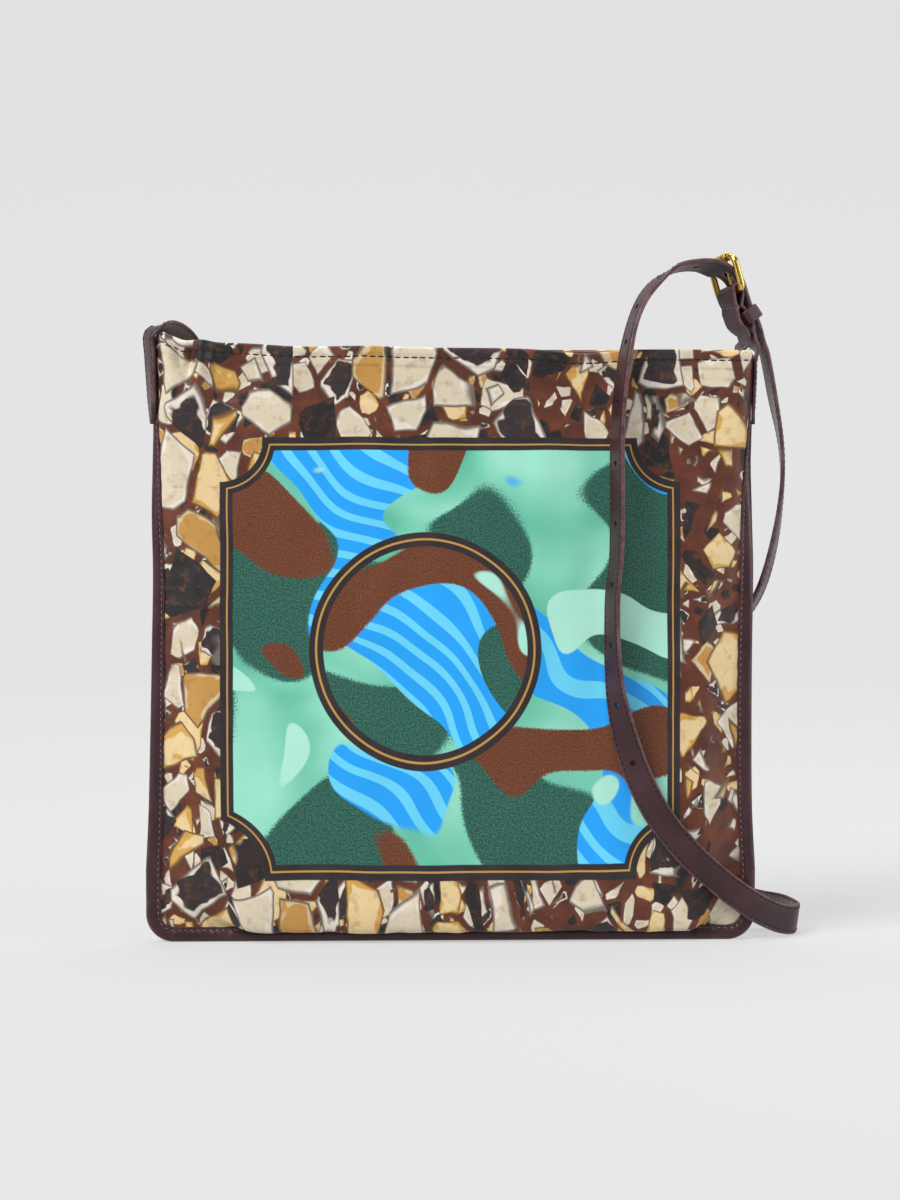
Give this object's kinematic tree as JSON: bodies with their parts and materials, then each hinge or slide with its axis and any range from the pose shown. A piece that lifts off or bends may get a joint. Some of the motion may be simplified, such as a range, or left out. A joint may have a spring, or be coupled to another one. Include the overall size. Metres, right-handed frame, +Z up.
{
  "type": "shoulder bag",
  "caption": "Flat square printed-cloth shoulder pouch with leather edge binding, open top hem and a long narrow leather strap that buckles at one side with a brass roller buckle.",
  "frame": {"origin": "On the floor under the middle of the bag, on the flat underside of the bottom binding.", "axes": "+Z up, +X to the right of someone who faces the front panel, -Y out of the front panel towards that person."},
  "size_m": [0.3687, 0.0631, 0.3824],
  "materials": {
    "cloth": "smooth printed cloth with a faint sheen",
    "leather": "smooth dark burgundy leather, stitched",
    "brass": "polished"
  },
  "bodies": {
    "root": {"front_panel": "cloth", "back_panel": "cloth", "edge_binding": "leather", "buckle_frame": "brass", "buckle_roller": "brass", "buckle_prong": "brass", "buckle_chape": "leather", "strap": "leather", "keeper_loop": "leather"}
  },
  "joints": []
}
